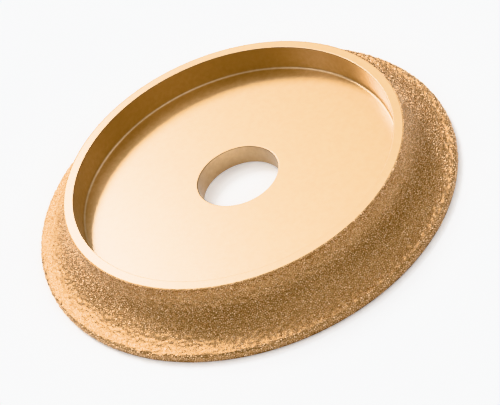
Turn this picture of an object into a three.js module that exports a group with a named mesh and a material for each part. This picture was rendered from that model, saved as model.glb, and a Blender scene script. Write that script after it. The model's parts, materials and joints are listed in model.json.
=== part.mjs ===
// A vacuum-brazed diamond profile wheel that rounds the edges of stone slabs.
//
// Millimetres. +Z runs along the bore, from the flat back face towards the open side of the
// recess. The origin is the centre of the bore on the back face, which is the face that the
// machine's inner flange clamps.
//
// The wheel is one turned steel blank (a web, a drum-shaped rim and a coved flange that ends in
// a thin lip) with two layers round its working face: the braze bond and the diamond grit.
// Every piece is a solid of revolution. Neighbouring layers share the points of the line where
// they meet, so they touch all round and don't overlap.

import * as THREE from 'three';

// Driving dimensions. Sizes of the working face are over the grit.
const OUTSIDE_DIAMETER = 115;
const PROFILE_RADIUS = 10;
const LIP_HEIGHT = 2.8;
const LIP_TIP_RADIUS = 1.2;
const RIM_LAND = 0.8;
const RIM_WALL = 2.5;
const WEB_THICKNESS = 6;
const BORE_DIAMETER = 22.23;

// Layers on the working face.
const BOND_THICKNESS = 0.3;
const GRIT_STAND = 0.25;
const COAT_BACK_CLEARANCE = 0.12;

// Turned corners.
const FLOOR_FILLET = 0.6;
const RIM_INNER_BREAK = 0.25;
const RIM_OUTER_BREAK = 0.15;
const BORE_BREAK = 0.3;
const LIP_UNDER_RADIUS = 0.8;

// Facets.
const SECTORS = 80;
const COVE_STEPS = 8;
const NOSE_STEPS = 3;
const UNDER_STEPS = 2;
const FILLET_STEPS = 3;

// Sizes that follow from the ones above.
const QUARTER_TURN = Math.PI / 2;
const COAT_THICKNESS = BOND_THICKNESS + GRIT_STAND;
const OVERALL_HEIGHT = LIP_HEIGHT + PROFILE_RADIUS + RIM_LAND;
const TIP_RADIUS = OUTSIDE_DIAMETER / 2;
const COVE_CENTRE = { r: TIP_RADIUS - LIP_TIP_RADIUS, z: LIP_HEIGHT + PROFILE_RADIUS };
const NOSE_CENTRE = { r: COVE_CENTRE.r, z: LIP_HEIGHT - LIP_TIP_RADIUS };
const RIM_OUTER_RADIUS = COVE_CENTRE.r - PROFILE_RADIUS - COAT_THICKNESS;
const RECESS_RADIUS = RIM_OUTER_RADIUS - RIM_WALL;
const UNDER_CENTRE = { r: TIP_RADIUS - COAT_THICKNESS - LIP_UNDER_RADIUS, z: LIP_UNDER_RADIUS };

// The coat ends part way round the lip's under edge, just clear of the back face.
const COAT_END_ANGLE = Math.asin(
  (LIP_UNDER_RADIUS - COAT_BACK_CLEARANCE) / (LIP_UNDER_RADIUS + COAT_THICKNESS),
);

/** Points along an arc in the half section, both ends included. */
function arc(centre, radius, fromAngle, toAngle, steps) {
  const points = [];
  for (let i = 0; i <= steps; i += 1) {
    const angle = THREE.MathUtils.lerp(fromAngle, toAngle, i / steps);
    points.push(new THREE.Vector2(
      centre.r + radius * Math.cos(angle),
      centre.z + radius * Math.sin(angle),
    ));
  }
  return points;
}

/** The working face at a depth under the grit's tips, from the rim's top edge to the lip. */
function workingFace(depth) {
  const above = COAT_THICKNESS - depth;
  const top = new THREE.Vector2(RIM_OUTER_RADIUS + above, OVERALL_HEIGHT - RIM_OUTER_BREAK);
  const cove = arc(COVE_CENTRE, PROFILE_RADIUS + depth, Math.PI, Math.PI + QUARTER_TURN, COVE_STEPS);
  const nose = arc(NOSE_CENTRE, LIP_TIP_RADIUS - depth, QUARTER_TURN, 0, NOSE_STEPS);
  const under = arc(UNDER_CENTRE, LIP_UNDER_RADIUS + above, 0, -COAT_END_ANGLE, 1);
  return [top, ...cove, ...nose.slice(1), ...under];
}

/**
 * A solid of revolution about Z. The half section is listed down the outside and back up the
 * inside. The lathe wants it the other way round and closed on itself.
 */
function revolve(section) {
  const closed = [...section, section[0].clone()].reverse();
  const geometry = new THREE.LatheGeometry(closed, SECTORS);
  geometry.rotateX(QUARTER_TURN);
  return geometry;
}

/** A named piece with its own finish. */
function piece(name, geometry, finish) {
  const mesh = new THREE.Mesh(geometry, new THREE.MeshStandardMaterial(finish));
  mesh.name = name;
  return mesh;
}

/** One layer on the working face, between two depths under the grit's tips. */
function layer(outerDepth, innerDepth) {
  return revolve([...workingFace(outerDepth), ...workingFace(innerDepth).reverse()]);
}

/** The turned blank, its half section followed from the rim's top edge down the outside. */
function steelBody() {
  const boreRadius = BORE_DIAMETER / 2;
  const point = (r, z) => new THREE.Vector2(r, z);
  const under = arc(UNDER_CENTRE, LIP_UNDER_RADIUS, -COAT_END_ANGLE, -QUARTER_TURN, UNDER_STEPS);
  const bore = [
    point(boreRadius + BORE_BREAK, 0),
    point(boreRadius, BORE_BREAK),
    point(boreRadius, WEB_THICKNESS - BORE_BREAK),
    point(boreRadius + BORE_BREAK, WEB_THICKNESS),
  ];
  const filletCentre = { r: RECESS_RADIUS - FLOOR_FILLET, z: WEB_THICKNESS + FLOOR_FILLET };
  const fillet = arc(filletCentre, FLOOR_FILLET, -QUARTER_TURN, 0, FILLET_STEPS);
  const rimTop = [
    point(RECESS_RADIUS, OVERALL_HEIGHT - RIM_INNER_BREAK),
    point(RECESS_RADIUS + RIM_INNER_BREAK, OVERALL_HEIGHT),
    point(RIM_OUTER_RADIUS - RIM_OUTER_BREAK, OVERALL_HEIGHT),
  ];
  return revolve([...workingFace(COAT_THICKNESS), ...under.slice(1), ...bore, ...fillet, ...rimTop]);
}

const wheel = new THREE.Group();
wheel.add(piece('steel_body', steelBody(), {
  color: 0xf4cc96,
  roughness: 0.38,
  metalness: 0.9,
}));
wheel.add(piece('braze_bond', layer(GRIT_STAND, COAT_THICKNESS), {
  color: 0xb98a52,
  roughness: 0.5,
  metalness: 0.8,
}));
wheel.add(piece('diamond_grit', layer(0, GRIT_STAND), {
  color: 0xcfa46c,
  roughness: 0.42,
  metalness: 0.7,
}));

export default wheel;
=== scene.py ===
"""A vacuum-brazed diamond profile wheel, laid on a pale bench top.

The wheel is a turned steel blank in gold lacquer, with a layer of nickel braze round its coved
working face and many thousands of diamond crystals that stand out of the braze. Everything is in
metres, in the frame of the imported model: +Z runs along the bore, from the flat back face towards
the open side of the recess.
"""

import json
import logging
import math
import random
from dataclasses import dataclass, field
from enum import Enum

import bmesh
import bpy
import numpy as np
from mathutils import Matrix, Vector, noise

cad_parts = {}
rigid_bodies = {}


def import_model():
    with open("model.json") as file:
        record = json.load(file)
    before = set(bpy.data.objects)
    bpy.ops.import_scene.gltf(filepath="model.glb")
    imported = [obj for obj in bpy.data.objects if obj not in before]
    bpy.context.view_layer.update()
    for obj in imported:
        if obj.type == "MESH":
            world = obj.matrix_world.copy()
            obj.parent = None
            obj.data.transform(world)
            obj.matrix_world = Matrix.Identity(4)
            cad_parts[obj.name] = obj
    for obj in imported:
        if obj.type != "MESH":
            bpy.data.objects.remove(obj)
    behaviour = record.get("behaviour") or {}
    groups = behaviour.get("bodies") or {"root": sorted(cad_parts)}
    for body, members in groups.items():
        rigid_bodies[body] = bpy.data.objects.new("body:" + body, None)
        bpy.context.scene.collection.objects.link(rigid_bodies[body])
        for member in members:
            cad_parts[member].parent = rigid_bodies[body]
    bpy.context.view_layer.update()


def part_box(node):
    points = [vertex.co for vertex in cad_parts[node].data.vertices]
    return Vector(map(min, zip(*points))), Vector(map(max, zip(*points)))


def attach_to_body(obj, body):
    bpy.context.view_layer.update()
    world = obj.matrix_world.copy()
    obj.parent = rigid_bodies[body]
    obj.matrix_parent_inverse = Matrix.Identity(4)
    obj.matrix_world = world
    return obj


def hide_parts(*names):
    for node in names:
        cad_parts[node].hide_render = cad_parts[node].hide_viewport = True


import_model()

LOG = logging.getLogger("wheel")
MM = 0.001
QUARTER_TURN = math.pi / 2
FULL_TURN = 2 * math.pi
GOLDEN_ANGLE = math.pi * (3 - math.sqrt(5))
NEGLIGIBLE = 1e-9

# Stretches of a noise pattern, which is about 0.5 on average, that hold most of its values.
NOISE_MIDDLE = (0.35, 0.65)
NOISE_WIDE = (0.3, 0.7)

Colour = tuple[float, float, float]


class Node(Enum):
    """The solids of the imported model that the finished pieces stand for."""

    STEEL = "steel_body"
    BOND = "braze_bond"
    GRIT = "diamond_grit"


class Slot(Enum):
    """The record's material slots."""

    STEEL = "gold_lacquered_steel"
    BOND = "nickel_braze"
    GRIT = "lacquered_grit"


class Body(Enum):
    """The rigid bodies that a piece can ride on."""

    WHEEL = "root"


# ---------------------------------------------------------------------------------------------
# Half sections: an outline in (radius, height), turned about Z.
# ---------------------------------------------------------------------------------------------


@dataclass(frozen=True)
class Point:
    """A point of a half section."""

    r: float
    z: float


class HalfSection:
    """An outline in the half plane, built from straight stretches and arcs.

    A straight stretch gets one extra point close to each of its ends. The faces beside an arc are
    then flat right up to it, and its smooth shading doesn't run out over them.
    """

    SUPPORT = 0.03 * MM
    SHORTEST_SUPPORTED = 4 * SUPPORT

    def __init__(self) -> None:
        """Starts an empty outline."""
        self.points: list[Point] = []

    def to(self, r: float, z: float) -> "HalfSection":
        """Goes straight to a point.

        Args:
            r: Radius of the point.
            z: Height of the point.

        Returns:
            The outline itself, so that calls can be chained.
        """
        if self.points:
            start = self.points[-1]
            run = math.hypot(r - start.r, z - start.z)
            if run > self.SHORTEST_SUPPORTED:
                for share in (self.SUPPORT / run, 1 - self.SUPPORT / run):
                    self.points.append(
                        Point(start.r + (r - start.r) * share, start.z + (z - start.z) * share)
                    )
        self.points.append(Point(r, z))
        return self

    def arc(self, centre: Point, radius: float, start: float, end: float, steps: int) -> "HalfSection":
        """Follows an arc, after a straight run to where it starts.

        Args:
            centre: Centre of the arc.
            radius: Radius of the arc.
            start: First angle, from the outward direction, in radians.
            end: Last angle.
            steps: How many chords the arc is cut into.

        Returns:
            The outline itself.
        """
        for step in range(steps + 1):
            angle = start + (end - start) * step / steps
            r = centre.r + radius * math.cos(angle)
            z = centre.z + radius * math.sin(angle)
            if step:
                self.points.append(Point(r, z))
            elif not self.points or math.hypot(r - self.points[-1].r, z - self.points[-1].z) > NEGLIGIBLE:
                self.to(r, z)
        return self

    def evenly(self, spacing: float) -> list[Point]:
        """The outline cut into even steps.

        Args:
            spacing: The longest step allowed.

        Returns:
            Points from the first to the last, evenly apart.
        """
        r = np.array([p.r for p in self.points])
        z = np.array([p.z for p in self.points])
        along = np.concatenate([[0.0], np.cumsum(np.hypot(np.diff(r), np.diff(z)))])
        count = math.ceil(along[-1] / spacing)
        stations = np.linspace(0.0, along[-1], count + 1)
        return [
            Point(float(a), float(b))
            for a, b in zip(np.interp(stations, along, r), np.interp(stations, along, z))
        ]


def revolve(
    name: str,
    outline: list[Point],
    sectors: int,
    closed: bool = True,
    start: float = 0.0,
    sweep: float = FULL_TURN,
) -> bpy.types.Object:
    """Turns an outline about Z into a mesh.

    Args:
        name: Name of the new object.
        outline: Points down the outside and back up the inside, or an open line down the outside.
        sectors: How many steps the sweep is cut into.
        closed: Whether the outline closes on itself.
        start: Angle at which the sweep starts.
        sweep: Angle that it covers.

    Returns:
        The new object, at the origin.
    """
    whole = abs(sweep - FULL_TURN) < NEGLIGIBLE
    columns = sectors if whole else sectors + 1
    angles = start + sweep * np.arange(columns) / sectors
    r = np.array([p.r for p in outline])
    z = np.array([p.z for p in outline])
    x = np.outer(np.cos(angles), r)
    y = np.outer(np.sin(angles), r)
    vertices = np.stack([x, y, np.broadcast_to(z, x.shape)], axis=-1).reshape(-1, 3)
    rows = len(outline)
    faces = []
    for column in range(sectors):
        here = column * rows
        there = ((column + 1) % columns) * rows
        for row in range(rows if closed else rows - 1):
            below = (row + 1) % rows
            faces.append((here + row, here + below, there + below, there + row))
    mesh = bpy.data.meshes.new(name)
    mesh.from_pydata(vertices.tolist(), [], faces)
    mesh.polygons.foreach_set("use_smooth", [True] * len(mesh.polygons))
    mesh.update()
    made = bpy.data.objects.new(name, mesh)
    bpy.context.scene.collection.objects.link(made)
    return made


# ---------------------------------------------------------------------------------------------
# The wheel's own sizes.
# ---------------------------------------------------------------------------------------------


@dataclass(frozen=True)
class WheelSizes:
    """Sizes shared by the steel and its layers.

    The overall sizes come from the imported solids, and the rest are the turned sizes.
    """

    profile_radius: float = 10.0 * MM
    lip_height: float = 2.8 * MM
    lip_tip_radius: float = 1.2 * MM
    rim_wall: float = 2.5 * MM
    web_thickness: float = 6.0 * MM
    bore_radius: float = 22.23 * MM / 2
    floor_fillet: float = 0.6 * MM
    rim_inner_break: float = 0.25 * MM
    rim_outer_break: float = 0.15 * MM
    bore_break: float = 0.3 * MM
    lip_under_radius: float = 0.8 * MM
    coat_back_clearance: float = 0.12 * MM
    cove_steps: int = 48
    nose_steps: int = 10
    under_steps: int = 4

    @property
    def height(self) -> float:
        """Overall height, back face to rim."""
        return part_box(Node.STEEL.value)[1].z

    @property
    def tip_radius(self) -> float:
        """Radius over the crystals."""
        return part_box(Node.GRIT.value)[1].x

    @property
    def bond_depth(self) -> float:
        """Depth of the braze's surface under the crystals' tips."""
        return self.tip_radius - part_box(Node.BOND.value)[1].x

    @property
    def steel_depth(self) -> float:
        """Depth of the steel under the crystals' tips."""
        return self.tip_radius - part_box(Node.STEEL.value)[1].x

    @property
    def cove_centre(self) -> Point:
        """Centre of the working face's arc."""
        return Point(self.tip_radius - self.lip_tip_radius, self.lip_height + self.profile_radius)

    @property
    def rim_outer_radius(self) -> float:
        """Radius of the steel rim's outside."""
        return self.cove_centre.r - self.profile_radius - self.steel_depth

    @property
    def recess_radius(self) -> float:
        """Radius of the recess wall."""
        return self.rim_outer_radius - self.rim_wall

    @property
    def under_centre(self) -> Point:
        """Centre of the lip's under edge."""
        steel_tip = self.tip_radius - self.steel_depth
        return Point(steel_tip - self.lip_under_radius, self.lip_under_radius)

    @property
    def coat_end(self) -> float:
        """How far round the lip's under edge the coat goes, in radians."""
        rise = self.lip_under_radius - self.coat_back_clearance
        return math.asin(rise / (self.lip_under_radius + self.steel_depth))

    def working_face(self, depth: float) -> HalfSection:
        """The working face at a depth under the crystals' tips, from the rim down to the lip.

        Args:
            depth: Depth under the tips.

        Returns:
            The open outline.
        """
        above = self.steel_depth - depth
        nose = Point(self.cove_centre.r, self.lip_height - self.lip_tip_radius)
        line = HalfSection()
        line.to(self.rim_outer_radius + above, self.height - self.rim_outer_break)
        cove_radius = self.profile_radius + depth
        line.arc(self.cove_centre, cove_radius, math.pi, math.pi + QUARTER_TURN, self.cove_steps)
        line.arc(nose, self.lip_tip_radius - depth, QUARTER_TURN, 0.0, self.nose_steps)
        under_radius = self.lip_under_radius + above
        line.arc(self.under_centre, under_radius, 0.0, -self.coat_end, self.under_steps)
        return line


@dataclass(frozen=True)
class Wrinkles:
    """The shallow folds of the braze, which run loosely round the wheel.

    Both the braze and the crystals that stand in it follow them.
    """

    length: float = 1.15 * MM
    width: float = 0.62 * MM
    depth: float = 0.27 * MM
    ring: float = 52.0 * MM
    fine_share: float = 0.45
    fine_ratio: float = 2.3
    middle: float = 0.5
    steepness: float = 0.9

    def sink(self, place: Vector) -> float:
        """How far the surface sinks at a place.

        Args:
            place: A point of the working face.

        Returns:
            The sink, from nothing to the full depth.
        """
        angle = math.atan2(place.y, place.x)
        across = (place.z - math.hypot(place.x, place.y)) / self.width
        around = self.ring / self.length
        spot = Vector((around * math.cos(angle), around * math.sin(angle), across))
        fold = noise.noise(spot) + self.fine_share * noise.noise(spot * self.fine_ratio)
        return self.depth * min(1.0, max(0.0, self.middle - self.steepness * fold))

    def press(self, piece: bpy.types.Object, rows: int, first: int, last: int) -> None:
        """Presses the folds into part of a turned mesh.

        Args:
            piece: The turned mesh.
            rows: How many points each of its columns has.
            first: First row that is pressed in.
            last: Row after the last one.
        """
        mesh = piece.data
        normals = [vertex.normal.copy() for vertex in mesh.vertices]
        for index, vertex in enumerate(mesh.vertices):
            if first <= index % rows < last:
                vertex.co -= normals[index] * self.sink(vertex.co)
        mesh.update()


# ---------------------------------------------------------------------------------------------
# Finishes.
# ---------------------------------------------------------------------------------------------


class Sketch:
    """A node tree being drawn up."""

    def __init__(self, tree: bpy.types.NodeTree) -> None:
        """Wraps a node tree.

        Args:
            tree: The tree to add nodes to.
        """
        self.tree = tree

    def add(self, kind: str, **settings: object) -> bpy.types.Node:
        """Adds a node.

        Args:
            kind: The node's type name.
            **settings: Properties to set on it.

        Returns:
            The new node.
        """
        node = self.tree.nodes.new(kind)
        for key, value in settings.items():
            setattr(node, key, value)
        return node

    def feed(self, node: bpy.types.Node, socket: str | int, value: object) -> None:
        """Gives an input a value, or links an output to it.

        Args:
            node: The node whose input is fed.
            socket: Name or number of the input.
            value: A plain value or another node's output.
        """
        if isinstance(value, bpy.types.NodeSocket):
            self.tree.links.new(value, node.inputs[socket])
        else:
            node.inputs[socket].default_value = value

    def maths(self, operation: str, *values: object, clamp: bool = False) -> bpy.types.NodeSocket:
        """Adds a sum.

        Args:
            operation: The Math node's operation.
            *values: Its operands.
            clamp: Whether the result is kept between 0 and 1.

        Returns:
            The result's socket.
        """
        node = self.add("ShaderNodeMath", operation=operation, use_clamp=clamp)
        for index, value in enumerate(values):
            self.feed(node, index, value)
        return node.outputs[0]

    def noise(
        self, where: bpy.types.NodeSocket, size: float, detail: float = 2.0, roughness: float = 0.5
    ) -> bpy.types.NodeSocket:
        """Adds a noise pattern.

        Args:
            where: Coordinates in metres.
            size: Length of one wave of the noise, in metres.
            detail: How many finer octaves it has.
            roughness: How strong those are.

        Returns:
            The pattern's value, about 0.5 on average.
        """
        node = self.add("ShaderNodeTexNoise")
        self.feed(node, "Vector", where)
        self.feed(node, "Scale", 1.0 / size)
        self.feed(node, "Detail", detail)
        self.feed(node, "Roughness", roughness)
        return node.outputs["Fac"]

    def span(
        self, value: bpy.types.NodeSocket, low: float, high: float, to_low: float, to_high: float
    ) -> bpy.types.NodeSocket:
        """Maps a stretch of values on to another, and holds it at the ends.

        Args:
            value: What to map.
            low: Start of the stretch.
            high: End of the stretch.
            to_low: What the start becomes.
            to_high: What the end becomes.

        Returns:
            The mapped value.
        """
        node = self.add("ShaderNodeMapRange", clamp=True)
        self.feed(node, "From Min", low)
        self.feed(node, "From Max", high)
        self.feed(node, "To Min", to_low)
        self.feed(node, "To Max", to_high)
        self.feed(node, "Value", value)
        return node.outputs["Result"]

    def bump(self, height: bpy.types.NodeSocket, strength: float, distance: float) -> bpy.types.NodeSocket:
        """Adds a relief.

        Args:
            height: The pattern that stands up from the surface.
            strength: How much of the relief shows.
            distance: How high it is, in metres.

        Returns:
            The surface's direction with the relief on it.
        """
        node = self.add("ShaderNodeBump")
        self.feed(node, "Strength", strength)
        self.feed(node, "Distance", distance)
        self.feed(node, "Height", height)
        return node.outputs["Normal"]

    def mix(self, share: object, one: object, other: object) -> bpy.types.NodeSocket:
        """Mixes two colours.

        Args:
            share: How much of the second there is.
            one: The first colour.
            other: The second colour.

        Returns:
            The mixed colour.
        """
        node = self.add("ShaderNodeMix", data_type="RGBA")
        factor = next(s for s in node.inputs if s.identifier == "Factor_Float")
        first = next(s for s in node.inputs if s.identifier == "A_Color")
        second = next(s for s in node.inputs if s.identifier == "B_Color")
        for socket, value in ((factor, share), (first, one), (second, other)):
            if isinstance(value, bpy.types.NodeSocket):
                self.tree.links.new(value, socket)
            else:
                socket.default_value = value
        return next(s for s in node.outputs if s.identifier == "Result_Color")


def rgba(colour: Colour) -> tuple[float, float, float, float]:
    """A colour with full alpha."""
    return (*colour, 1.0)


def new_material(name: str) -> tuple[bpy.types.Material, Sketch, bpy.types.Node, bpy.types.NodeSocket]:
    """Starts a material.

    Args:
        name: Name of the material.

    Returns:
        The material, a sketch of its tree, its shader, and the object coordinates in metres.
    """
    material = bpy.data.materials.new(name)
    material.use_nodes = True
    sketch = Sketch(material.node_tree)
    shader = material.node_tree.nodes["Principled BSDF"]
    where = sketch.add("ShaderNodeTexCoord").outputs["Object"]
    return material, sketch, shader, where


@dataclass(frozen=True)
class GoldLacquer:
    """Satin gold lacquer, sprayed over turned steel."""

    name: str = "gold_lacquer"
    colour: Colour = (0.60, 0.39, 0.19)
    pale: Colour = (0.66, 0.44, 0.225)
    roughness: float = 0.46
    smoother: float = 0.05
    rougher: float = 0.06
    coat_weight: float = 1.0
    coat_roughness: float = 0.25
    coat_ior: float = 1.75
    grain: float = 0.42 * MM
    mottle: float = 1.3 * MM
    turning_pitch: float = 0.22 * MM
    turning_share: float = 0.06
    relief_strength: float = 0.5
    relief_height: float = 0.02 * MM
    # Darker colour of the edge band: scuffed lacquer, and on the rim's inner edge also a painted shade
    # line.
    worn_and_shaded: Colour = (0.30, 0.18, 0.09)
    wear_and_shade_attribute: str = "edge_wear"
    wear_and_shade_patches: tuple[float, float] = (0.3, 0.6)
    least_wear_and_shade: float = 0.5

    def material(self) -> bpy.types.Material:
        """The finish as a material.

        Returns:
            The material.
        """
        material, sketch, shader, where = new_material(self.name)
        mottle = sketch.noise(where, self.mottle, detail=3.0)
        grain = sketch.noise(where, self.grain, detail=2.0)
        flat = sketch.add("ShaderNodeVectorMath", operation="MULTIPLY")
        sketch.feed(flat, 0, where)
        flat.inputs[1].default_value = (1.0, 1.0, 0.0)
        radius = sketch.add("ShaderNodeVectorMath", operation="LENGTH")
        sketch.feed(radius, 0, flat.outputs[0])
        turns = sketch.maths("MULTIPLY", radius.outputs["Value"], FULL_TURN / self.turning_pitch)
        turning = sketch.maths("SINE", turns)
        tone = sketch.span(mottle, *NOISE_MIDDLE, 0.0, 1.0)
        base = sketch.mix(tone, rgba(self.colour), rgba(self.pale))
        # Edge band darkening: scuffed lacquer at the bore's edges, scuffing plus a painted shade line at
        # the rim's inner edge.
        wear_and_shade = sketch.add("ShaderNodeAttribute", attribute_name=self.wear_and_shade_attribute)
        patchy_wear_and_shade = sketch.span(mottle, *self.wear_and_shade_patches, self.least_wear_and_shade, 1.0)
        rubbed_and_shaded = sketch.maths("MULTIPLY", wear_and_shade.outputs["Fac"], patchy_wear_and_shade)
        base = sketch.mix(rubbed_and_shaded, base, rgba(self.worn_and_shaded))
        sketch.feed(shader, "Base Color", base)
        sketch.feed(shader, "Metallic", 1.0)
        smooth = self.roughness - self.smoother
        rough = self.roughness + self.rougher
        sketch.feed(shader, "Roughness", sketch.span(grain, *NOISE_WIDE, smooth, rough))
        sketch.feed(shader, "Coat Weight", self.coat_weight)
        sketch.feed(shader, "Coat Roughness", self.coat_roughness)
        sketch.feed(shader, "Coat IOR", self.coat_ior)
        relief = sketch.maths("MULTIPLY_ADD", turning, self.turning_share, grain)
        sketch.feed(shader, "Normal", sketch.bump(relief, self.relief_strength, self.relief_height))
        return material


@dataclass(frozen=True)
class BrazeToneWithPaintedShade:
    """Nickel braze under gold lacquer, finely mottled in a dark and a lighter tone, both kept deep as
    painted shade in the gaps between the crystals.
    """

    name: str = "lacquered_braze"
    # Both tones are deepened as painted shade in the gaps between the crystals.
    dark: Colour = (0.24, 0.135, 0.06)
    light: Colour = (0.52, 0.32, 0.16)
    roughness: float = 0.42
    smoother: float = 0.05
    rougher: float = 0.1
    grain: float = 0.25 * MM
    relief_strength: float = 0.5
    relief_height: float = 0.06 * MM

    def material(self) -> bpy.types.Material:
        """The finish as a material.

        Returns:
            The material.
        """
        material, sketch, shader, where = new_material(self.name)
        grain = sketch.noise(where, self.grain, detail=3.0)
        tone = sketch.span(grain, *NOISE_MIDDLE, 0.0, 1.0)
        # The mottled tones are held deep as painted shade between the crystals.
        sketch.feed(shader, "Base Color", sketch.mix(tone, rgba(self.dark), rgba(self.light)))
        sketch.feed(shader, "Metallic", 1.0)
        smooth = self.roughness - self.smoother
        rough = self.roughness + self.rougher
        sketch.feed(shader, "Roughness", sketch.span(grain, *NOISE_WIDE, rough, smooth))
        sketch.feed(shader, "Normal", sketch.bump(grain, self.relief_strength, self.relief_height))
        return material


@dataclass(frozen=True)
class CrystalFinish:
    """Diamond crystals under the same gold lacquer, each a little different in tone."""

    name: str = "lacquered_crystal"
    dull: Colour = (0.64, 0.41, 0.23)
    bright: Colour = (0.96, 0.71, 0.48)
    roughness: float = 0.56
    smoother: float = 0.06
    rougher: float = 0.12
    tone_attribute: str = "crystal_tone"
    patch: float = 1.1 * MM
    patch_share: float = 0.5
    grain: float = 0.09 * MM
    relief_strength: float = 0.35
    relief_height: float = 0.02 * MM

    def material(self) -> bpy.types.Material:
        """The finish as a material.

        Returns:
            The material.
        """
        material, sketch, shader, where = new_material(self.name)
        tone = sketch.add("ShaderNodeAttribute", attribute_name=self.tone_attribute)
        patch = sketch.noise(where, self.patch, detail=2.0)
        share = sketch.maths("MULTIPLY_ADD", patch, self.patch_share, -self.patch_share / 2)
        share = sketch.maths("ADD", tone.outputs["Fac"], share, clamp=True)
        sketch.feed(shader, "Base Color", sketch.mix(share, rgba(self.dull), rgba(self.bright)))
        sketch.feed(shader, "Metallic", 1.0)
        smooth = self.roughness - self.smoother
        rough = self.roughness + self.rougher
        sketch.feed(shader, "Roughness", sketch.span(tone.outputs["Fac"], 0.0, 1.0, rough, smooth))
        grain = sketch.noise(where, self.grain, detail=1.0)
        sketch.feed(shader, "Normal", sketch.bump(grain, self.relief_strength, self.relief_height))
        return material


@dataclass(frozen=True)
class BenchFinish:
    """The plain pale top that the wheel lies on, with a faint glow so that it stays pale."""

    name: str = "pale_bench"
    colour: Colour = (0.88, 0.885, 0.89)
    glow: float = 0.22
    cloud: float = 60 * MM
    paler_by: float = 1.02
    roughness: float = 0.9
    specular: float = 0.1

    def material(self) -> bpy.types.Material:
        """The finish as a material.

        Returns:
            The material.
        """
        material, sketch, shader, where = new_material(self.name)
        cloud = sketch.noise(where, self.cloud, detail=2.0)
        tone = sketch.span(cloud, *NOISE_WIDE, 0.0, 1.0)
        paler = tuple(min(1.0, part * self.paler_by) for part in self.colour)
        sketch.feed(shader, "Base Color", sketch.mix(tone, rgba(self.colour), rgba(paler)))
        sketch.feed(shader, "Roughness", self.roughness)
        sketch.feed(shader, "Specular IOR Level", self.specular)
        sketch.feed(shader, "Emission Color", rgba(self.colour))
        sketch.feed(shader, "Emission Strength", self.glow)
        return material


# ---------------------------------------------------------------------------------------------
# Pieces.
# ---------------------------------------------------------------------------------------------


@dataclass
class SteelBody:
    """The turned blank: web with a plain bore, drum-shaped rim, coved flange and lip."""

    sizes: WheelSizes
    finish: GoldLacquer = field(default_factory=GoldLacquer)
    sectors: int = 480
    corner_steps: int = 6
    wear_and_shade_reach: float = 0.22 * MM

    def outline(self) -> list[Point]:
        """The half section, down the outside, along the back and up through the recess.

        Returns:
            The closed outline's points.
        """
        s = self.sizes
        steps = self.corner_steps
        line = s.working_face(s.steel_depth)
        line.arc(s.under_centre, s.lip_under_radius, -s.coat_end, -QUARTER_TURN, steps)
        bore_edge = s.bore_radius + s.bore_break
        line.arc(Point(bore_edge, s.bore_break), s.bore_break, -QUARTER_TURN, -math.pi, steps)
        top_edge = Point(bore_edge, s.web_thickness - s.bore_break)
        line.arc(top_edge, s.bore_break, math.pi, QUARTER_TURN, steps)
        corner = Point(s.recess_radius - s.floor_fillet, s.web_thickness + s.floor_fillet)
        line.arc(corner, s.floor_fillet, -QUARTER_TURN, 0.0, steps)
        inner = Point(s.recess_radius + s.rim_inner_break, s.height - s.rim_inner_break)
        line.arc(inner, s.rim_inner_break, math.pi, QUARTER_TURN, steps)
        outer = Point(s.rim_outer_radius - s.rim_outer_break, s.height - s.rim_outer_break)
        line.arc(outer, s.rim_outer_break, QUARTER_TURN, 0.0, steps)
        return line.points[:-1]

    def build(self) -> bpy.types.Object:
        """Builds and dresses the blank.

        Returns:
            The finished piece.
        """
        blank = revolve("turned_steel_body", self.outline(), self.sectors)
        self.mark_wear_and_shade(blank)
        blank.data.materials.append(self.finish.material())
        return blank

    def mark_wear_and_shade(self, blank: bpy.types.Object) -> None:
        """Marks how far the lacquer is scuffed off the rim's inner edge and the bore's edges; on the rim's
        inner edge the same darker band is also a painted shade line.

        Args:
            blank: The turned blank.
        """
        s = self.sizes
        mesh = blank.data
        places = np.zeros(len(mesh.vertices) * 3)
        mesh.vertices.foreach_get("co", places)
        places = places.reshape(-1, 3)
        reach = np.hypot(places[:, 0], places[:, 1])
        worn_and_shaded = np.zeros(len(places))
        # The rim's inner edge band is a painted shade line as well as scuffed lacquer; the bore's edges
        # are scuffed lacquer.
        edges = (
            Point(s.recess_radius, s.height),
            Point(s.bore_radius, s.web_thickness),
            Point(s.bore_radius, 0.0),
        )
        for edge in edges:
            away = np.hypot(reach - edge.r, places[:, 2] - edge.z)
            worn_and_shaded = np.maximum(worn_and_shaded, np.exp(-((away / self.wear_and_shade_reach) ** 2)))
        mark = mesh.attributes.new(self.finish.wear_and_shade_attribute, "FLOAT", "POINT")
        mark.data.foreach_set("value", worn_and_shaded)


@dataclass
class BrazeBond:
    """The braze layer, folded where it wetted up between the crystals."""

    sizes: WheelSizes
    wrinkles: Wrinkles
    finish: BrazeToneWithPaintedShade = field(default_factory=BrazeToneWithPaintedShade)
    spacing: float = 0.33 * MM
    inside_ratio: int = 4

    def build(self) -> bpy.types.Object:
        """Builds and dresses the layer.

        Returns:
            The finished piece.
        """
        s = self.sizes
        outside = s.working_face(s.bond_depth).evenly(self.spacing)
        inside = s.working_face(s.steel_depth).evenly(self.inside_ratio * self.spacing)
        sectors = math.ceil(FULL_TURN * s.tip_radius / self.spacing)
        layer = revolve("braze_layer", outside + inside[::-1], sectors)
        self.wrinkles.press(layer, len(outside) + len(inside), 1, len(outside) - 1)
        layer.data.materials.append(self.finish.material())
        return layer


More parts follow.
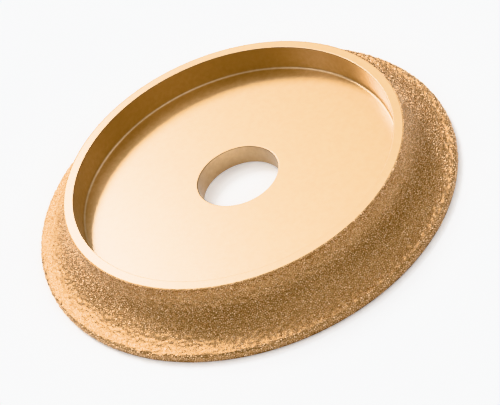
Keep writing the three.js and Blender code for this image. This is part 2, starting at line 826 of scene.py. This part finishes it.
@dataclass
class DiamondGrit:
    """The crystals, scattered over the braze by a node tree."""

    sizes: WheelSizes
    wrinkles: Wrinkles
    finish: CrystalFinish = field(default_factory=CrystalFinish)
    ground_step: float = 0.28 * MM
    spacing: float = 0.40 * MM
    crystal_radius: float = 0.26 * MM
    smallest: float = 0.65
    largest: float = 1.15
    sink: float = 0.05 * MM
    quarters: int = 4
    shapes: int = 6
    corners: int = 10
    corner_swing: float = 0.35
    shortest_corner: float = 0.82
    packing: float = 2.0
    back_clearance: float = 0.02 * MM
    seed: int = 11
    seed_step: int = 10

    def crystals(self) -> bpy.types.Collection:
        """Cuts a handful of blocky crystal shapes.

        Returns:
            A collection with one object for each shape, each within one unit of its middle.
        """
        draw = random.Random(self.seed)
        shelf = bpy.data.collections.new("crystal_shapes")
        for index in range(self.shapes):
            shape = bmesh.new()
            for corner in range(self.corners):
                height = 1 - 2 * (corner + 0.5) / self.corners
                around = corner * GOLDEN_ANGLE + draw.uniform(-self.corner_swing, self.corner_swing)
                ring = math.sqrt(1 - height * height)
                reach = draw.uniform(self.shortest_corner, 1.0)
                place = Vector((ring * math.cos(around), ring * math.sin(around), height)) * reach
                shape.verts.new(place)
            bmesh.ops.convex_hull(shape, input=shape.verts)
            mesh = bpy.data.meshes.new(f"crystal_shape_{index}")
            shape.to_mesh(mesh)
            shape.free()
            shelf.objects.link(bpy.data.objects.new(mesh.name, mesh))
        return shelf

    def tree(self) -> bpy.types.NodeTree:
        """Draws up the node tree that scatters the crystals.

        Returns:
            The tree, with its sizes as named inputs.
        """
        tree = bpy.data.node_groups.new("scatter_crystals", "GeometryNodeTree")
        wanted = (
            ("Surface", "NodeSocketGeometry"),
            ("Crystals", "NodeSocketCollection"),
            ("Spacing", "NodeSocketFloat"),
            ("Radius", "NodeSocketFloat"),
            ("Smallest", "NodeSocketFloat"),
            ("Largest", "NodeSocketFloat"),
            ("Sink", "NodeSocketFloat"),
            ("Seed", "NodeSocketInt"),
            ("Finish", "NodeSocketMaterial"),
        )
        for name, kind in wanted:
            tree.interface.new_socket(name, in_out="INPUT", socket_type=kind)
        tree.interface.new_socket("Crystals", in_out="OUTPUT", socket_type="NodeSocketGeometry")
        sketch = Sketch(tree)
        given = sketch.add("NodeGroupInput").outputs
        scatter = sketch.add("GeometryNodeDistributePointsOnFaces", distribute_method="POISSON")
        sketch.feed(scatter, "Mesh", given["Surface"])
        sketch.feed(scatter, "Distance Min", given["Spacing"])
        square = sketch.maths("MULTIPLY", given["Spacing"], given["Spacing"])
        sketch.feed(scatter, "Density Max", sketch.maths("DIVIDE", self.packing, square))
        sketch.feed(scatter, "Seed", given["Seed"])
        lower = sketch.add("ShaderNodeVectorMath", operation="SCALE")
        sketch.feed(lower, 0, scatter.outputs["Normal"])
        sketch.feed(lower, "Scale", sketch.maths("MULTIPLY", given["Sink"], -1.0))
        settle = sketch.add("GeometryNodeSetPosition")
        sketch.feed(settle, "Geometry", scatter.outputs["Points"])
        sketch.feed(settle, "Offset", lower.outputs[0])
        shelf = sketch.add("GeometryNodeCollectionInfo", transform_space="ORIGINAL")
        sketch.feed(shelf, "Collection", given["Crystals"])
        sketch.feed(shelf, "Separate Children", True)
        sketch.feed(shelf, "Reset Children", True)
        turn = sketch.add("FunctionNodeRandomValue", data_type="FLOAT_VECTOR")
        turn.inputs[1].default_value = (FULL_TURN, FULL_TURN, FULL_TURN)
        sketch.feed(turn, "Seed", given["Seed"])
        rotation = sketch.add("FunctionNodeEulerToRotation")
        sketch.feed(rotation, 0, turn.outputs[0])
        size = sketch.add("FunctionNodeRandomValue", data_type="FLOAT_VECTOR")
        small = sketch.maths("MULTIPLY", given["Radius"], given["Smallest"])
        large = sketch.maths("MULTIPLY", given["Radius"], given["Largest"])
        sketch.feed(size, 0, small)
        sketch.feed(size, 1, large)
        sketch.feed(size, "Seed", sketch.maths("ADD", given["Seed"], 1.0))
        place = sketch.add("GeometryNodeInstanceOnPoints")
        sketch.feed(place, "Points", settle.outputs["Geometry"])
        sketch.feed(place, "Instance", shelf.outputs["Instances"])
        sketch.feed(place, "Pick Instance", True)
        sketch.feed(place, "Rotation", rotation.outputs[0])
        sketch.feed(place, "Scale", size.outputs[0])
        tone = sketch.add("FunctionNodeRandomValue", data_type="FLOAT")
        sketch.feed(tone, "Seed", sketch.maths("ADD", given["Seed"], 2.0))
        label = sketch.add("GeometryNodeStoreNamedAttribute", data_type="FLOAT", domain="INSTANCE")
        sketch.feed(label, "Geometry", place.outputs["Instances"])
        sketch.feed(label, "Name", self.finish.tone_attribute)
        sketch.feed(label, "Value", tone.outputs[1])
        real = sketch.add("GeometryNodeRealizeInstances")
        sketch.feed(real, "Geometry", label.outputs["Geometry"])
        dress = sketch.add("GeometryNodeSetMaterial")
        sketch.feed(dress, "Geometry", real.outputs["Geometry"])
        sketch.feed(dress, "Material", given["Finish"])
        sketch.feed(sketch.add("NodeGroupOutput"), 0, dress.outputs["Geometry"])
        return tree

    def build(self) -> list[bpy.types.Object]:
        """Scatters the crystals, a quarter of the wheel at a time.

        Returns:
            The finished pieces.
        """
        s = self.sizes
        tree = self.tree()
        shelf = self.crystals()
        finish = self.finish.material()
        ground = s.working_face(s.bond_depth).evenly(self.ground_step)
        sweep = FULL_TURN / self.quarters
        made = []
        for quarter in range(self.quarters):
            name = f"diamond_crystals_{quarter + 1}"
            sectors = math.ceil(sweep * s.tip_radius / self.ground_step)
            band = revolve(name, ground, sectors, closed=False, start=quarter * sweep, sweep=sweep)
            self.wrinkles.press(band, len(ground), 0, len(ground))
            inputs = {
                "Crystals": shelf,
                "Spacing": self.spacing,
                "Radius": self.crystal_radius,
                "Smallest": self.smallest,
                "Largest": self.largest,
                "Sink": self.sink,
                "Seed": self.seed + self.seed_step * quarter,
                "Finish": finish,
            }
            made.append(plain_mesh(band, tree, inputs))
            self.trim(made[-1])
        for shape in list(shelf.objects):
            bpy.data.objects.remove(shape)
        bpy.data.collections.remove(shelf)
        return made

    def trim(self, piece: bpy.types.Object) -> None:
        """Grinds the crystals off at the rim and the tips' radius, and just clear of the back.

        Args:
            piece: One quarter's crystals.
        """
        s = self.sizes
        mesh = piece.data
        points = np.zeros(len(mesh.vertices) * 3)
        mesh.vertices.foreach_get("co", points)
        points = points.reshape(-1, 3)
        points[:, 2] = np.clip(points[:, 2], self.back_clearance, s.height)
        reach = np.hypot(points[:, 0], points[:, 1])
        points[:, :2] *= np.minimum(1.0, s.tip_radius / reach)[:, None]
        mesh.vertices.foreach_set("co", points.ravel())
        mesh.update()


def plain_mesh(
    piece: bpy.types.Object, tree: bpy.types.NodeTree, inputs: dict[str, object]
) -> bpy.types.Object:
    """Runs a node tree on a piece and keeps the result as its own mesh.

    Args:
        piece: The piece that the tree starts from.
        tree: The tree.
        inputs: What each of its named inputs is set to.

    Returns:
        The same piece, with the result as its mesh and no modifier.
    """
    modifier = piece.modifiers.new("nodes", "NODES")
    modifier.node_group = tree
    for item in tree.interface.items_tree:
        if item.item_type == "SOCKET" and item.in_out == "INPUT" and item.name in inputs:
            modifier[item.identifier] = inputs[item.name]
    evaluated = piece.evaluated_get(bpy.context.evaluated_depsgraph_get())
    result = bpy.data.meshes.new_from_object(evaluated)
    piece.modifiers.remove(modifier)
    ground = piece.data
    piece.data = result
    bpy.data.meshes.remove(ground)
    return piece


# ---------------------------------------------------------------------------------------------
# Studio.
# ---------------------------------------------------------------------------------------------


@dataclass(frozen=True)
class Softbox:
    """One soft lamp, far off, aimed at the wheel.

    Angles are in degrees. The azimuth is measured from +Y, which is the far side of the wheel from
    the camera.
    """

    name: str
    azimuth: float
    elevation: float
    spread: float
    power: float
    colour: Colour = (1.0, 1.0, 1.0)

    def place(self) -> bpy.types.Object:
        """Hangs the lamp.

        Returns:
            The lamp's object.
        """
        lamp = bpy.data.lights.new(self.name, "SUN")
        lamp.angle = math.radians(self.spread)
        lamp.energy = self.power
        lamp.color = self.colour
        made = bpy.data.objects.new(self.name, lamp)
        around = math.radians(self.azimuth)
        up = math.radians(self.elevation)
        spot = Vector(
            (math.sin(around) * math.cos(up), math.cos(around) * math.cos(up), math.sin(up))
        )
        made.location = spot
        made.rotation_euler = spot.to_track_quat("Z", "Y").to_euler()
        bpy.context.scene.collection.objects.link(made)
        return made


@dataclass
class Studio:
    """The bench top, the lamps and the camera."""

    camera_place: Vector = field(default_factory=lambda: Vector((0.0, -256.7, 221.2)) * MM)
    camera_aim: Vector = field(default_factory=lambda: Vector((0.24, -20.6, 13.6)) * MM)
    camera_roll: float = math.radians(22.44)
    lens: float = 91.6
    sensor: float = 36.0
    nearest: float = 0.01
    farthest: float = 20.0
    bench_side: float = 6.0
    bench_finish: BenchFinish = field(default_factory=BenchFinish)
    sky: Colour = (1.0, 1.0, 1.0)
    sky_strength: float = 0.49
    black_level: float = 0.016
    lamps: tuple[Softbox, ...] = (
        Softbox("key_softbox", -18.0, 41.0, 18.0, 3.7),
        Softbox("high_softbox", -24.0, 60.0, 34.0, 0.8),
        Softbox("left_softbox", -90.0, 38.0, 24.0, 0.38),
        Softbox("right_fill", 72.0, 52.0, 26.0, 0.27),
        Softbox("low_back_fill", -36.0, 12.0, 26.0, 0.32),
        Softbox("front_fill", 160.0, 58.0, 40.0, 0.38),
    )

    def build(self) -> None:
        """Sets up the bench, the lamps and the camera."""
        self.lay_bench()
        self.light()
        self.aim_camera()

    def lay_bench(self) -> None:
        """Lays the bench top under the wheel."""
        half = self.bench_side / 2
        mesh = bpy.data.meshes.new("bench_top")
        corners = [(-half, -half, 0.0), (half, -half, 0.0), (half, half, 0.0), (-half, half, 0.0)]
        mesh.from_pydata(corners, [], [(0, 1, 2, 3)])
        bench = bpy.data.objects.new("bench_top", mesh)
        bench.data.materials.append(self.bench_finish.material())
        bpy.context.scene.collection.objects.link(bench)

    def light(self) -> None:
        """Hangs the lamps and sets the even light from all round."""
        for softbox in self.lamps:
            softbox.place()
        world = bpy.data.worlds.new("studio")
        world.use_nodes = True
        background = world.node_tree.nodes["Background"]
        background.inputs["Color"].default_value = rgba(self.sky)
        background.inputs["Strength"].default_value = self.sky_strength
        bpy.context.scene.world = world
        view = bpy.context.scene.view_settings
        view.view_transform = "Khronos PBR Neutral"
        view.use_curve_mapping = True
        view.curve_mapping.black_level = (self.black_level,) * 3
        view.curve_mapping.update()

    def aim_camera(self) -> None:
        """Sets the camera up and points it at the wheel."""
        lens = bpy.data.cameras.new("camera")
        lens.lens = self.lens
        lens.sensor_width = self.sensor
        lens.clip_start = self.nearest
        lens.clip_end = self.farthest
        camera = bpy.data.objects.new("camera", lens)
        back = (self.camera_place - self.camera_aim).normalized()
        side = Vector((0.0, 0.0, 1.0)).cross(back).normalized()
        level_up = back.cross(side)
        up = level_up * math.cos(self.camera_roll) + side * math.sin(self.camera_roll)
        right = up.cross(back)
        turn = Matrix((right, up, back)).transposed().to_4x4()
        camera.matrix_world = Matrix.Translation(self.camera_place) @ turn
        bpy.context.scene.collection.objects.link(camera)
        bpy.context.scene.camera = camera


def attach(piece: bpy.types.Object, node: Node) -> None:
    """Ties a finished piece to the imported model.

    Args:
        piece: The finished piece.
        node: The solid that it stands for.
    """
    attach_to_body(piece, Body.WHEEL.value)
    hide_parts(node.value)
    LOG.info("%s: %d faces, stands for %s", piece.name, len(piece.data.polygons), node.value)


def main() -> None:
    """Builds the wheel and its studio."""
    logging.basicConfig(level=logging.INFO, format="%(name)s: %(message)s")
    sizes = WheelSizes()
    wrinkles = Wrinkles()
    attach(SteelBody(sizes).build(), Node.STEEL)
    attach(BrazeBond(sizes, wrinkles).build(), Node.BOND)
    for crystals in DiamondGrit(sizes, wrinkles).build():
        attach(crystals, Node.GRIT)
    Studio().build()


if __name__ == "__main__":
    main()
